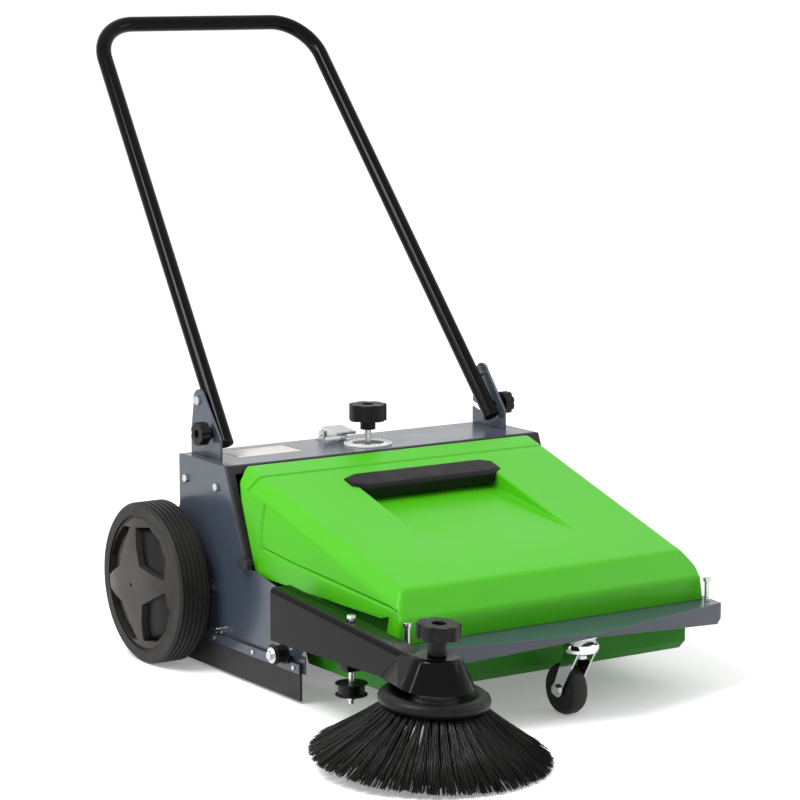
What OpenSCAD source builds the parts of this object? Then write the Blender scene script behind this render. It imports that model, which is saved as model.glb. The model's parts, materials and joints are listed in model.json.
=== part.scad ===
// Walk-behind push sweeper with a front hopper, a side brush and a folding tube handle.
// Millimetres. X runs across the machine, -Y is forward, +Z is up, the floor is at Z = 0.

/* [Wheels and drive] */
// Diameter of the two road wheels
wheel_d = 250; // [220:1:280]
// Width of a road wheel
wheel_w = 52; // [40:1:60]
// Gap between a side plate and its road wheel
wheel_gap = 21; // [18:1:30]
// Radial thickness of the rubber tyre
tyre_t = 14; // [12:0.5:16]
// Height of the wheel disc's dome over the tyre's outer side
hub_dome = 18; // [12:1:24]
// Diameter of the stub axle that a road wheel turns on
axle_d = 16; // [12:1:20]
// Tooth module of the ring gear in the left wheel
gear_module = 3; // [2.8:0.1:3.1]
// Teeth of the ring gear
ring_teeth = 68; // [66:2:68]
// Teeth of the pinion on the main brush shaft
pinion_teeth = 15; // [13:2:17]

/* [Housing] */
// Width of the steel housing over its side plates
housing_w = 580; // [540:1:620]
// Height of the top plate above the floor
housing_h = 320; // [310:1:330]
// Thickness of the housing sheet steel
sheet_t = 2.5; // [2:0.1:3]
// Reach of the top plate in front of the wheel axle
top_front = 132; // [125:1:140]
// Reach of the top plate behind the wheel axle
top_rear = 7; // [4:1:12]
// Reach of the lower rear plate behind the wheel axle
low_rear = 50; // [47:1:60]
// Reach of the side plates in front of the wheel axle
side_reach = 350; // [335:1:355]
// Height of the side plates' lower edge above the floor
side_low = 45; // [40:1:52]
// Thickness of the rubber skirts
skirt_t = 4; // [3:0.5:5]
// Gap between the skirts and the floor
skirt_gap = 4; // [3:0.5:8]
// Width of the soft seal on the front edge of the housing
seal_w = 8; // [6:0.5:10]

/* [Handle] */
// Diameter of the handle tube
tube_d = 25; // [22:0.5:28]
// Wall of the handle tube
tube_wall = 2; // [1.5:0.1:3]
// Height of the push bar's centreline
bar_h = 967; // [900:1:1040]
// Distance of the push bar behind the wheel axle
bar_back = 429; // [380:1:480]
// Width between the legs at the push bar, measured at the sharp corners
bar_w = 408; // [360:1:450]
// Width between the legs at their lower ends
leg_w = 498; // [480:1:506]
// Height of the legs' lower ends
leg_low = 342; // [340:1:350]
// Distance of the legs' lower ends in front of the wheel axle
leg_fore = 66; // [60:1:70]
// Centreline radius of the two bends
bend_r = 75; // [60:1:90]
// Distance from a leg's lower end to its pivot bolt
pivot_up = 79; // [75:1:84]
// Distance from a leg's lower end to its lock bolt
lock_up = 21; // [18:1:24]
// Diameter of the pivot and lock bolts
bolt_d = 8; // [6:0.5:10]
// Thickness of the handle bracket plates
bracket_t = 4; // [3:0.5:6]
// Diameter of the lock knobs
lock_knob_d = 36; // [30:1:40]

/* [Main brush] */
// Diameter of the main brush over its bristles
main_brush_d = 244; // [230:1:246]
// Length of the bristled part of the main brush
main_brush_w = 524; // [480:1:530]
// Diameter of the main brush core
core_d = 80; // [60:1:90]
// Diameter of the main brush shaft
shaft_d = 18; // [14:1:20]

/* [Brush height screw] */
// Diameter of the height knob
height_knob_d = 59; // [50:1:65]
// Diameter of the height screw
screw_d = 10; // [8:0.5:12]
// Diameter of the dial ring under the height knob
dial_d = 76; // [70:1:84]

/* [Hopper] */
// Width of the hopper's flat top
hopper_top_w = 500; // [480:1:510]
// Width of the hopper over its lower flange
hopper_w = 566; // [556:1:570]
// Wall of the moulded hopper
hopper_wall = 4; // [3:0.5:5]
// Distance of the hopper's front bend ahead of the wheel axle
hopper_fore = 555; // [545:1:562]
// Height of the hopper's front bend
hopper_nose = 203; // [195:1:208]
// Height of the hopper tub's floor
tub_low = 50; // [44:1:60]
// Length of the hopper grip
grip_w = 270; // [240:1:290]
// Height of the upright hopper pins
pin_h = 36; // [30:1:40]

/* [Front plate and caster] */
// Height of the front plate
plate_h = 130; // [126:1:131]
// Half width of the front plate
plate_half = 280; // [270:1:284]
// Reach of the front plate's side corners ahead of the wheel axle
plate_fore = 614; // [606:1:622]
// Reach of the front plate's middle point ahead of the wheel axle
plate_tip = 676; // [668:1:690]
// Depth of the front flange at the side corners
flange_deep = 32; // [24:1:40]
// Diameter of the caster wheel
caster_d = 75; // [65:1:80]
// Width of the caster wheel
caster_w = 24; // [20:1:28]
// Trail of the caster wheel behind its swivel axis
caster_trail = 34; // [28:1:40]

/* [Side brush] */
// Distance of the side brush axis to the left of the middle
side_x = 314; // [308:1:322]
// Distance of the side brush axis ahead of the wheel axle
side_fore = 729; // [716:1:738]
// Diameter of the side brush over its bristle tips
side_brush_d = 334; // [320:1:352]
// Diameter of the bristle ring
ring_d = 152; // [140:1:160]
// Height of the bristle ring's underside
ring_low = 81; // [76:1:86]
// Strands around each row of the side brush
row_strands = 120; // [100:1:130]
// Rows of strands in the side brush
strand_rows = 3; // [2:1:3]
// Thickness of a strand
strand_t = 1.8; // [1.4:0.1:2]
// Radius of the dome over the side brush
dome_r = 54; // [48:1:58]
// Width of the arm that carries the side brush
arm_w = 40; // [36:1:44]
// Height of the arm at its pivot end
arm_deep = 78; // [68:1:82]
// Height of the arm at its brush end
arm_nose = 48; // [36:1:52]
// Sheet thickness of the arm
arm_t = 3; // [2.5:0.1:4]
// Diameter of the side brush knob
side_knob_d = 61; // [54:1:66]

/* [Hidden] */
$fn = 64;

// Clearances: running fit of a pin in a bore, loose bolt hole, and free gap between moving pieces
run = 0.05;
loose = 0.5;
gap = 0.5;

// Widths that the housing has to hold: the brush with its bearings, the handle brackets and the hopper
bracket_room = 2;
bracket_edge = 10;
core_end = 4;
bearing_w = 12;
brush_end = core_end + bearing_w + 2;
hopper_edge = 7;
rail_t = 7.5;
bracket_in = leg_w / 2 + tube_d / 2 + bracket_room;
bracket_out = bracket_in + bracket_t;
hopper_half = hopper_w / 2;
half_w = max([
  housing_w / 2, main_brush_w / 2 + brush_end + sheet_t, bracket_out + bracket_edge, hopper_half + hopper_edge
]);
inner_w = half_w - sheet_t;
front_half = max(plate_half, inner_w - rail_t);

// Wheels and drive
axle_z = wheel_d / 2;
wheel_in = half_w + wheel_gap;
wheel_out = wheel_in + wheel_w;
rim_r = wheel_d / 2 - tyre_t;
ring_r = gear_module * ring_teeth / 2;
gear_seat = ring_r + 1.35 * gear_module;
gear_inset = 2;
gear_w = 12;
nut_inset = 9;
nut_t = 6;
pinion_r = gear_module * pinion_teeth / 2;
brush_y = -(ring_r - pinion_r);

// Handle: lean to the rear, inward splay of the legs, and the places of the pivot and lock bolts
leg_room = 22;
leg_z = max(leg_low, housing_h + leg_room);
bar_len_v = [bar_back + leg_fore, bar_h - leg_z];
lean = atan2(bar_len_v[0], bar_len_v[1]);
leg_len = norm(bar_len_v);
splay = atan2((leg_w - bar_w) / 2, leg_len);
bend_cut = bend_r * tan((90 - splay) / 2);
pivot_x = leg_w / 2 - pivot_up * tan(splay);
pivot_y = -leg_fore + pivot_up * sin(lean);
pivot_z = leg_z + pivot_up * cos(lean);
lock_r = pivot_up - lock_up;
lock_x = leg_w / 2 - lock_up * tan(splay);
lock_y = -leg_fore + lock_up * sin(lean);
lock_z = leg_z + lock_up * cos(lean);
lock_in = bracket_out + 1;

// Housing outline: the foot of the slanted front edge, the rear step and the brush height screw
neck_y = -193;
neck_z = 178;
step_rise = 65;
brow_rise = 115;
step_z = axle_z + step_rise;
brow_z = axle_z + brow_rise;
height_y = -82;
skirt_inset = 10;
skirt_back = low_rear - skirt_inset;
skirt_lap = 15;
strip_t = 2;
skirt_front = -side_reach - 3;

// Hopper: the shoulder and the draft take fixed shares of what the flange stands out past the flat top
slope = 16.1;
overhang = hopper_half - hopper_top_w / 2;
shoulder_w = overhang * 0.55;
side_draft = overhang * 0.18;
shoulder_drop = 19;
hopper_rear_top = -top_front - seal_w - 6;
hopper_top_z = hopper_nose - (hopper_rear_top + hopper_fore) * -tan(slope);
hopper_back = neck_y - seal_w - 1;
tub_half = hopper_half - 24;
tub_front = -hopper_fore - 2;
tub_back = -300;
flange_z = neck_z - 12;
tub_lid = flange_z - 2;
lip_y = -hopper_fore - 26;
lip_z = hopper_nose - 39;
grip_y = -238;
grip_half_y = 26;

// Front plate and caster
plate_back = tub_front - 16;
caster_inset = 36;
caster_y = caster_inset - plate_tip;
caster_axle_z = caster_d / 2;
caster_pin_d = 12;
caster_bolt_d = 10;
caster_tread = 9;

// Side brush and its arm: the brush leans forward and inward about the middle of its ring
lean_fore = 3.5;
lean_in = 1.5;
arm_in = half_w + 12;
arm_mid = arm_in + arm_w / 2;
brush_jog = 8;
brush_x = -max(side_x, arm_mid - brush_jog);
ring_t = 23;
ring_seat = 18;
brush_turn_z = ring_low + ring_t / 2;
arm_pin_ahead = 20;
arm_pivot_y = -side_reach - arm_pin_ahead;
arm_pivot_z = 130;
arm_pin_d = 12;
arm_back = arm_pivot_y + arm_pin_ahead;
arm_top = 180;
arm_roof = 157;
arm_neck = -side_fore + dome_r + 35;
dome_top_r = 36;
dome_low = ring_low + 31;
dome_h = 42;
spindle_d = 14;
spindle_flange_r = 30;
spindle_flange_t = 8;

// Reach of the leaning brush: its lowest tip stands just off the floor
brush_r = side_brush_d / 2;
tip_gap = 1;
upright = cos(lean_fore) * cos(lean_in);
tip_drop = (brush_turn_z - tip_gap - brush_r * sqrt(1 - upright * upright)) / upright;
tip_z = brush_turn_z - tip_drop;
strand_len = ring_low - tip_z;
brush_reach_y = brush_r * cos(lean_fore) - tip_drop * sin(lean_fore);
brush_reach_x = brush_r * norm([cos(lean_in), sin(lean_fore) * sin(lean_in)])
  + tip_drop * cos(lean_fore) * sin(lean_in);

// Belt rollers, with their bolts and flanges
roller_bolt_d = 8;
roller_inset = 34;
roller_y = roller_inset - side_reach;
roller_z = 70;
idler_y = -535;
idler_low = 58;
idler_h = 18;

// Toggle latch
latch_x = -24;
latch_y = -16;
latch_w = 44;
latch_pin_d = 5;
latch_pin_z = housing_h + 10;

// Places of the small fasteners
screw_end = 27;
side_bolt_drop = 35;
side_bolt_ys = [-17, -110];
wing_y = -118;
wing_z = 66;
rivet_n = 4;
rivet_end = 12;
rivet_rear = 30;

// Overall box, and the shift that puts the origin under its middle
box_right = wheel_out + hub_dome;
box_left = -max(box_right, brush_reach_x - brush_x);
box_front = -side_fore - brush_reach_y;
box_back = bar_back + tube_d / 2;
shift = [-(box_left + box_right) / 2, -(box_front + box_back) / 2, 0];

steel_grey = "#5b6570";
gloss_black = "#1c1c1e";
rubber_black = "#262628";
zinc = "#b8bcc0";
green = "#5fd02c";
dark_plastic = "#46484c";

// Shared shapes
module slab_x(x0, x1) {
  translate([x0, 0, 0]) rotate([90, 0, 90]) linear_extrude(x1 - x0) children();
}

module rod_x(x0, x1, d) {
  translate([x0, 0, 0]) rotate([0, 90, 0]) cylinder(h = x1 - x0, d = d);
}

module at_yz(y, z) {
  translate([0, y, z]) children();
}

module on_side(side) {
  scale_x = side < 0 ? 1 : 0;
  mirror([scale_x, 0, 0]) children();
}

module place() {
  translate(shift) children();
}

module hex_head(d, h) {
  cylinder(h = h, d = d, $fn = 6);
}

// A round knob with scooped flanks
module star_knob(d, h, lobes) {
  linear_extrude(h) difference() {
    circle(d = d);
    for (i = [0 : lobes - 1])
      rotate(360 / lobes * i) translate([d * 0.56, 0]) circle(d = d * 0.24);
  }
}

// Outline of a toothed wheel: four corners a tooth
function tooth(r_root, r_tip, a, wide_root, wide_tip) = [
  [r_root * cos(a - wide_root), r_root * sin(a - wide_root)],
  [r_tip * cos(a - wide_tip), r_tip * sin(a - wide_tip)],
  [r_tip * cos(a + wide_tip), r_tip * sin(a + wide_tip)],
  [r_root * cos(a + wide_root), r_root * sin(a + wide_root)]
];

module toothed(teeth, r_root, r_tip, share_root, share_tip) {
  pitch = 360 / teeth;
  polygon([for (i = [0 : teeth - 1])
    each tooth(r_root, r_tip, pitch * i, pitch * share_root / 2, pitch * share_tip / 2)]);
}

// Steel housing
module side_outline() {
  tab_long = 10;
  tab_high = 27;
  shoulder = 28;
  polygon([
    [top_rear, housing_h], [-top_front, housing_h], [neck_y, neck_z], [-side_reach, neck_z - shoulder],
    [-side_reach, side_low + tab_high], [-side_reach - tab_long, side_low + tab_high],
    [-side_reach - tab_long, side_low], [low_rear, side_low], [low_rear, step_z], [top_rear, brow_z]
  ]);
}

module side_plate(side) {
  on_side(side) color(steel_grey) place_side(side) difference() {
    slab_x(inner_w, half_w) side_outline();
    at_yz(brush_y, axle_z) rod_x(inner_w - 1, half_w + 1, shaft_d + 8);
  }
}

// Moves a mirrored piece so that it lands at the shared shift
module place_side(side) {
  translate([shift[0] * (side < 0 ? -1 : 1), shift[1], shift[2]]) children();
}

module side_plate_left() {
  side_plate(-1);
}

module side_plate_right() {
  side_plate(1);
}

module top_plate() {
  color(steel_grey) place() difference() {
    translate([-inner_w, -top_front, housing_h - sheet_t])
      cube([2 * inner_w, top_front + top_rear - sheet_t, sheet_t]);
    translate([0, height_y, housing_h - sheet_t - 1]) cylinder(h = sheet_t + 2, d = screw_d + 2 * loose);
  }
}

module rear_plate() {
  color(steel_grey) place() slab_x(-inner_w, inner_w) polygon([
    [top_rear, housing_h], [top_rear - sheet_t, housing_h], [top_rear - sheet_t, brow_z - 1],
    [low_rear - sheet_t, step_z - 1], [low_rear - sheet_t, side_low], [low_rear, side_low],
    [low_rear, step_z], [top_rear, brow_z]
  ]);
}

// Soft strip round the front edge of the housing, where the hopper closes
module front_seal() {
  strip = 12;
  band = [
    [-top_front, housing_h], [-top_front - seal_w, housing_h], [neck_y - seal_w, neck_z], [neck_y, neck_z]
  ];
  color(rubber_black) place() difference() {
    slab_x(-half_w, half_w) polygon(band);
    translate([strip - half_w, -side_reach, neck_z - 1])
      cube([2 * (half_w - strip), side_reach, housing_h - neck_z - strip + 1]);
  }
}

module frame_rails() {
  rail_deep = 22;
  rail_back = neck_y + 23;
  rail_top = neck_z - 23;
  rail_front = -plate_fore + 14;
  rail_low = plate_h - sheet_t;
  color(steel_grey) place() for (s = [0, 1]) mirror([s, 0, 0])
    slab_x(front_half, inner_w) polygon([
      [rail_back, rail_top], [rail_front, rail_low], [rail_front, rail_low - rail_deep],
      [rail_back, rail_top - rail_deep]
    ]);
}

// Front plate with a pointed front edge and a front flange that tapers away towards the point
module front_plate() {
  tip_deep = sheet_t + 2;
  corner = 8;
  slant = sheet_t / cos(atan2(plate_tip - plate_fore, front_half));
  front = [[-front_half, -plate_fore], [0, -plate_tip], [front_half, -plate_fore]];
  inner = [for (i = [2 : -1 : 0]) front[i] + [0, slant]];
  color(steel_grey) place() {
    translate([0, 0, plate_h - sheet_t]) linear_extrude(sheet_t)
      polygon(concat([[front_half, plate_back], [-front_half, plate_back]], front));
    intersection() {
      translate([0, 0, plate_h - flange_deep - 1]) linear_extrude(flange_deep + 1)
        polygon(concat(front, inner));
      translate([0, plate_back, plate_h]) rotate([90, 0, 0]) linear_extrude(plate_tip) polygon([
        [-front_half, 0], [-front_half, corner - flange_deep], [corner - front_half, -flange_deep],
        [0, -tip_deep], [front_half - corner, -flange_deep], [front_half, corner - flange_deep],
        [front_half, 0]
      ]);
    }
  }
}

// Handle brackets, pivot bolts and the folding U tube
module handle_bracket(side) {
  foot_fore = 82;
  foot_rise = 31;
  heel = top_rear + 1;
  heel_rise = 36;
  ear_d = 34;
  ear_half = 14;
  ear_rise = 9;
  on_side(side) color(steel_grey) place_side(side) difference() {
    union() {
      slab_x(bracket_in, bracket_out) polygon([
        [heel, housing_h], [-foot_fore, housing_h], [-foot_fore, housing_h + foot_rise],
        [pivot_y - ear_half, pivot_z + ear_rise], [pivot_y + ear_half, pivot_z + ear_rise],
        [heel, housing_h + heel_rise]
      ]);
      at_yz(pivot_y, pivot_z) rod_x(bracket_in, bracket_out, ear_d);
    }
    slab_x(bracket_in - 1, bracket_out + 1) lock_slot();
    at_yz(pivot_y, pivot_z) rod_x(bracket_in - 1, bracket_out + 1, bolt_d);
  }
}

// Arc slot that the lock bolt swings out through, open to the rear
module lock_slot() {
  slot = bolt_d + 2 * loose;
  from = atan2(lock_z - pivot_z, lock_y - pivot_y);
  translate([pivot_y, pivot_z]) {
    intersection() {
      difference() {
        circle(r = lock_r + slot / 2);
        circle(r = lock_r - slot / 2);
      }
      polygon([
        [0, 0], [2 * lock_r * cos(from), 2 * lock_r * sin(from)], [0, -3 * lock_r], [3 * lock_r, -lock_r],
        [3 * lock_r, 0]
      ]);
    }
    translate([lock_y - pivot_y, lock_z - pivot_z]) circle(d = slot);
  }
}

module handle_bracket_left() {
  handle_bracket(-1);
}

module handle_bracket_right() {
  handle_bracket(1);
}

// Upright U of one diameter, standing on its leg ends; the straights run a little way into the thinner bends
module u_tube(d, bend_d, below) {
  lap = 1;
  leg_straight = leg_len / cos(splay) - bend_cut;
  for (s = [0, 1]) mirror([s, 0, 0]) {
    translate([leg_w / 2, 0, 0]) rotate([0, -splay, 0])
      translate([0, 0, -below]) cylinder(h = leg_straight + below + lap, d = d);
    translate([bar_w / 2 - bend_cut, 0, leg_len - bend_r]) rotate([90, 0, 0]) rotate(splay)
      rotate_extrude(angle = 90 - splay) translate([bend_r, 0]) circle(d = bend_d);
  }
  translate([0, 0, leg_len]) rod_x(-bar_w / 2 + bend_cut - lap, bar_w / 2 - bend_cut + lap, d);
}

module handle_frame() {
  translate([0, -leg_fore, leg_z]) rotate([-lean, 0, 0]) children();
}

module push_handle() {
  bend_thin = 0.4;
  tube_bore = tube_d - 2 * tube_wall;
  color(gloss_black) place() difference() {
    handle_frame() u_tube(tube_d, tube_d - bend_thin, 0);
    handle_frame() u_tube(tube_bore, tube_bore + bend_thin, 1);
    for (s = [-1, 1]) {
      at_yz(pivot_y, pivot_z) rod_x(s * pivot_x - tube_d, s * pivot_x + tube_d, bolt_d + 2 * run);
      at_yz(lock_y, lock_z) rod_x(s * lock_x - tube_d, s * lock_x + tube_d, bolt_d + 2 * run);
    }
  }
}

module handle_end_caps() {
  cap_t = 2;
  plug = 6;
  color(dark_plastic) place() handle_frame() for (s = [0, 1]) mirror([s, 0, 0])
    translate([leg_w / 2, 0, 0]) rotate([0, -splay, 0]) {
      translate([0, 0, -cap_t]) cylinder(h = cap_t, d = tube_d);
      cylinder(h = plug, d = tube_d - 2 * tube_wall);
    }
}

module handle_pivot_bolts() {
  head_d = bolt_d * 1.9;
  head_h = 5;
  bolt_short = 1;
  color(zinc) place() for (s = [0, 1]) mirror([s, 0, 0]) at_yz(pivot_y, pivot_z) {
    rod_x(pivot_x - tube_d / 2 + bolt_short, bracket_out, bolt_d);
    translate([bracket_out, 0, 0]) rotate([0, 90, 0]) hex_head(head_d, head_h);
  }
}

// Star knob with its lock bolt, on the outer face of a bracket
module lock_knob(side) {
  neck = 8;
  neck_d = 18;
  head = 16;
  dish = 5;
  dish_d = 13;
  bolt_short = 1;
  on_side(side) color(gloss_black) place_side(side) at_yz(lock_y, lock_z) {
    rod_x(lock_x - tube_d / 2 + bolt_short, lock_in, bolt_d);
    rod_x(lock_in, lock_in + neck, neck_d);
    translate([lock_in + neck, 0, 0]) rotate([0, 90, 0]) difference() {
      star_knob(lock_knob_d, head, 8);
      translate([0, 0, head - dish]) cylinder(h = dish + 1, d = dish_d);
    }
  }
}

module lock_knob_left() {
  lock_knob(-1);
}

module lock_knob_right() {
  lock_knob(1);
}

// Road wheels on stub axles
module stub_axle(side) {
  foot_d = 64;
  foot_t = 5;
  collar = 12;
  on_side(side) color(zinc) place_side(side) at_yz(0, axle_z) {
    rod_x(half_w, half_w + foot_t, foot_d);
    rod_x(half_w + foot_t, wheel_in - 1, axle_d + collar);
    rod_x(wheel_in - 1, wheel_out - nut_inset + 5, axle_d);
  }
}

module stub_axle_left() {
  stub_axle(-1);
}

module stub_axle_right() {
  stub_axle(1);
}

module axle_nuts() {
  color(zinc) place() for (s = [0, 1]) mirror([s, 0, 0]) at_yz(0, axle_z)
    translate([wheel_out - nut_inset, 0, 0]) rotate([0, 90, 0]) difference() {
      hex_head(axle_d * 1.6, nut_t);
      translate([0, 0, -1]) cylinder(h = nut_t + 2, d = axle_d);
    }
}

// One window between the spokes of a hub: a blunt corner towards the boss and an arc along the rim
module hub_window() {
  rim = rim_r - 13;
  corners = [[42, 0], [88, 39], [rim - 1, 20], [rim, 0], [rim - 1, -20], [88, -39]];
  polygon([for (c = corners) c[0] * [cos(c[1]), sin(c[1])]]);
}

// Wheel disc: a rim round the drive, a domed face with windows, and a boss that hides the axle nut
module wheel_hub(side) {
  web = 20;
  boss_r = 24;
  face = wheel_w - 3;
  crown = wheel_w + hub_dome;
  windows = 4;
  window_turn = 38;
  behind = gear_inset + gear_w + 2;
  nut_bay = axle_d * 0.8 + 2;
  on_side(side) color(dark_plastic) place_side(side) at_yz(0, axle_z) difference() {
    rotate([0, 90, 0]) translate([0, 0, wheel_in]) rotate_extrude() polygon([
      [0, 0], [boss_r, 0], [boss_r, crown - 2 * web], [60, crown - web - 7], [85, crown - web - 14],
      [gear_seat, face - web], [gear_seat, 0], [rim_r, 0], [rim_r, face], [rim_r - 8, face],
      [85, crown - 9], [60, crown - 3], [30, crown], [0, crown]
    ]);
    for (i = [0 : windows - 1]) rotate([window_turn + 360 / windows * i, 0, 0])
      slab_x(wheel_in + behind, wheel_out + 2 * hub_dome) hub_window();
    rod_x(wheel_in - 1, wheel_out - nut_inset, axle_d + 2 * run);
    rod_x(wheel_out - nut_inset - 1, wheel_out + 4, 2 * nut_bay);
    rod_x(wheel_in, wheel_out + 2 * hub_dome, 6);
  }
}

module wheel_hub_left() {
  wheel_hub(-1);
}

module wheel_hub_right() {
  wheel_hub(1);
}

module tyre(side) {
  groove_n = 5;
  groove_w = 2.4;
  groove_deep = 2.5;
  margin = 6;
  edge = 4;
  lip = 6;
  pitch = (wheel_w - 2 * margin) / groove_n;
  on_side(side) color(rubber_black) place_side(side) at_yz(0, axle_z) rotate([0, 90, 0])
    translate([0, 0, wheel_in]) rotate_extrude() difference() {
      polygon([
        [rim_r, 0], [wheel_d / 2 - edge, 0], [wheel_d / 2, edge], [wheel_d / 2, wheel_w - edge],
        [wheel_d / 2 - edge, wheel_w], [rim_r - lip, wheel_w], [rim_r - lip, wheel_w - 3],
        [rim_r, wheel_w - 3]
      ]);
      for (i = [0 : groove_n])
        translate([wheel_d / 2 - groove_deep, margin + pitch * i - groove_w / 2])
          square([groove_deep + 1, groove_w]);
    }
}

module tyre_left() {
  tyre(-1);
}

module tyre_right() {
  tyre(1);
}

// Ring gear inside the left wheel; its spaces are cut as an outer gear
module wheel_ring_gear() {
  on_side(-1) color(dark_plastic) place_side(-1) at_yz(0, axle_z)
    slab_x(wheel_in + gear_inset, wheel_in + gear_inset + gear_w) difference() {
      circle(r = gear_seat, $fn = 240);
      toothed(ring_teeth, ring_r - 0.7 * gear_module, ring_r + 0.95 * gear_module, 0.72, 0.5);
    }
}

module brush_pinion() {
  on_side(-1) color(dark_plastic) place_side(-1) at_yz(brush_y, axle_z)
    slab_x(wheel_in + gear_inset - 1, wheel_in + gear_inset + gear_w + 1) difference() {
      rotate(180 / pinion_teeth)
        toothed(pinion_teeth, pinion_r - gear_module, pinion_r + 0.65 * gear_module, 0.56, 0.26);
      circle(d = shaft_d);
    }
}

// Main brush on its shaft, between flanged bearings on the side plates
module main_brush_shaft() {
  color(zinc) place() at_yz(brush_y, axle_z)
    rod_x(-wheel_in - gear_inset - gear_w - 1, half_w + 6, shaft_d);
}

module main_brush_core() {
  core_half = main_brush_w / 2 + core_end;
  color(dark_plastic) place() at_yz(brush_y, axle_z) difference() {
    rod_x(-core_half, core_half, core_d);
    rod_x(-core_half - 1, core_half + 1, shaft_d);
  }
}

module main_brush_bristles() {
  color(rubber_black) place() at_yz(brush_y, axle_z) difference() {
    rod_x(-main_brush_w / 2, main_brush_w / 2, main_brush_d);
    rod_x(-main_brush_w / 2 - 1, main_brush_w / 2 + 1, core_d);
  }
}

module brush_bearings() {
  flange_t = 4;
  flange_over = 44;
  sleeve_over = 20;
  flange_d = shaft_d + flange_over;
  sleeve_d = shaft_d + sleeve_over;
  color(zinc) place() for (s = [0, 1]) mirror([s, 0, 0]) at_yz(brush_y, axle_z) difference() {
    union() {
      rod_x(inner_w - flange_t, inner_w, flange_d);
      rod_x(inner_w - bearing_w, inner_w - flange_t, sleeve_d);
    }
    rod_x(inner_w - bearing_w - 1, inner_w + 1, shaft_d + 2 * run);
  }
}

// Brush height screw with its star knob and dial
module height_knob() {
  stem_low = 24;
  stem_h = 14;
  stem_d = 24;
  head = 26;
  dish = 8;
  dish_d = 20;
  color(gloss_black) place() translate([0, height_y, housing_h + stem_low]) {
    cylinder(h = stem_h, d = stem_d);
    translate([0, 0, stem_h]) difference() {
      star_knob(height_knob_d, head, 7);
      translate([0, 0, head - dish]) cylinder(h = dish + 1, d = dish_d);
    }
  }
}

module height_screw() {
  below = 44;
  above = 24;
  color(zinc) place() translate([0, height_y, housing_h - below]) cylinder(h = below + above, d = screw_d);
}

module height_nut() {
  side = screw_d + 30;
  high = 16;
  color(zinc) place() translate([0, height_y, housing_h - sheet_t - high]) difference() {
    translate([-side / 2, -side / 2, 0]) cube([side, side, high]);
    translate([0, 0, -1]) cylinder(h = high + 2, d = screw_d + 2 * run);
  }
}

module height_dial() {
  dial_t = 3;
  dial_rim = 13;
  color("white") place() translate([0, height_y, housing_h]) difference() {
    cylinder(h = dial_t, d = dial_d);
    translate([0, 0, -1]) cylinder(h = dial_t + 2, d = dial_d - 2 * dial_rim);
  }
}

// Toggle latch at the rear edge of the top plate
module latch_base() {
  base_t = 2;
  cheek_t = 3;
  cheek_y = 16;
  color(zinc) place() translate([latch_x, latch_y, 0]) {
    translate([-latch_w / 2, -22, housing_h]) cube([latch_w, 38, base_t]);
    for (s = [-1, 1]) difference() {
      translate([s * (latch_w - cheek_t) / 2 - cheek_t / 2, -cheek_y / 2, housing_h + base_t])
        cube([cheek_t, cheek_y, 14]);
      at_yz(0, latch_pin_z) rod_x(-latch_w, latch_w, latch_pin_d);
    }
  }
}

module latch_pin() {
  over = 2;
  color(zinc) place() translate([latch_x, latch_y, latch_pin_z])
    rod_x(-latch_w / 2 - over, latch_w / 2 + over, latch_pin_d);
}

module latch_lever() {
  lever_w = latch_w - 6 - 2 * gap;
  barrel = 10;
  long = 40;
  lever_t = 2;
  rear = 4;
  rear_rise = 12;
  nose_rise = 8;
  nose = 5;
  half = lever_w / 2;
  roof = [[rear, rear_rise], [-long, nose_rise], [-long, nose_rise - lever_t], [rear, rear_rise - lever_t]];
  cheek = [[rear, rear_rise], [-long, nose_rise], [-long, nose_rise - nose], [-barrel, -2], [rear, 0]];
  color(zinc) place() translate([latch_x, latch_y, latch_pin_z]) difference() {
    union() {
      rod_x(-half, half, barrel);
      slab_x(-half, half) polygon(roof);
      slab_x(-half, lever_t - half) polygon(cheek);
      slab_x(half - lever_t, half) polygon(cheek);
    }
    rod_x(-lever_w, lever_w, latch_pin_d + 2 * run);
  }
}

// Hopper: moulded cover over a tub, with a grip bar set into the cover
module hopper_profile(inset) {
  under = inset > 0 ? 1 : 0;
  polygon([
    [hopper_rear_top - inset, hopper_top_z - inset * 1.1],
    [-hopper_fore + inset * 0.4, hopper_nose - inset * 1.1], [lip_y + inset, lip_z - inset * 0.3],
    [lip_y + inset, plate_h + gap - under], [tub_front + hopper_wall + inset, plate_h + gap - under],
    [tub_front + hopper_wall + inset, flange_z - under], [hopper_back - inset, flange_z - under],
    [hopper_back - inset, neck_z]
  ]);
}

// Cross section square to the sloping top, from its flat top down to the flange
module hopper_section(inset) {
  top = hopper_top_w / 2 - inset * 0.5;
  side = hopper_half - inset;
  elbow = -shoulder_drop - inset;
  knee = 70;
  ankle = 110;
  deep = 330;
  polygon([
    [-top, -inset], [-top - shoulder_w, elbow], [side_draft - side, -knee], [-side, -ankle], [-side, -deep],
    [side, -deep], [side, -ankle], [side - side_draft, -knee], [top + shoulder_w, elbow], [top, -inset]
  ]);
}

module hopper_body(inset) {
  before = 120;
  intersection() {
    slab_x(-hopper_half - 1, hopper_half + 1) hopper_profile(inset);
    translate([0, -hopper_fore, hopper_nose]) rotate([slope, 0, 0]) translate([0, hopper_fore, 0])
      rotate([90, 0, 0]) linear_extrude(hopper_fore + before) hopper_section(inset);
  }
}

module hopper_cover() {
  color(green) place() difference() {
    hopper_body(0);
    hopper_body(hopper_wall);
    hopper_mouth();
    grip_well(0);
  }
  color(green) place() difference() {
    intersection() {
      grip_well(hopper_wall);
      hopper_body(0);
    }
    grip_well(0);
  }
}

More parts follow.
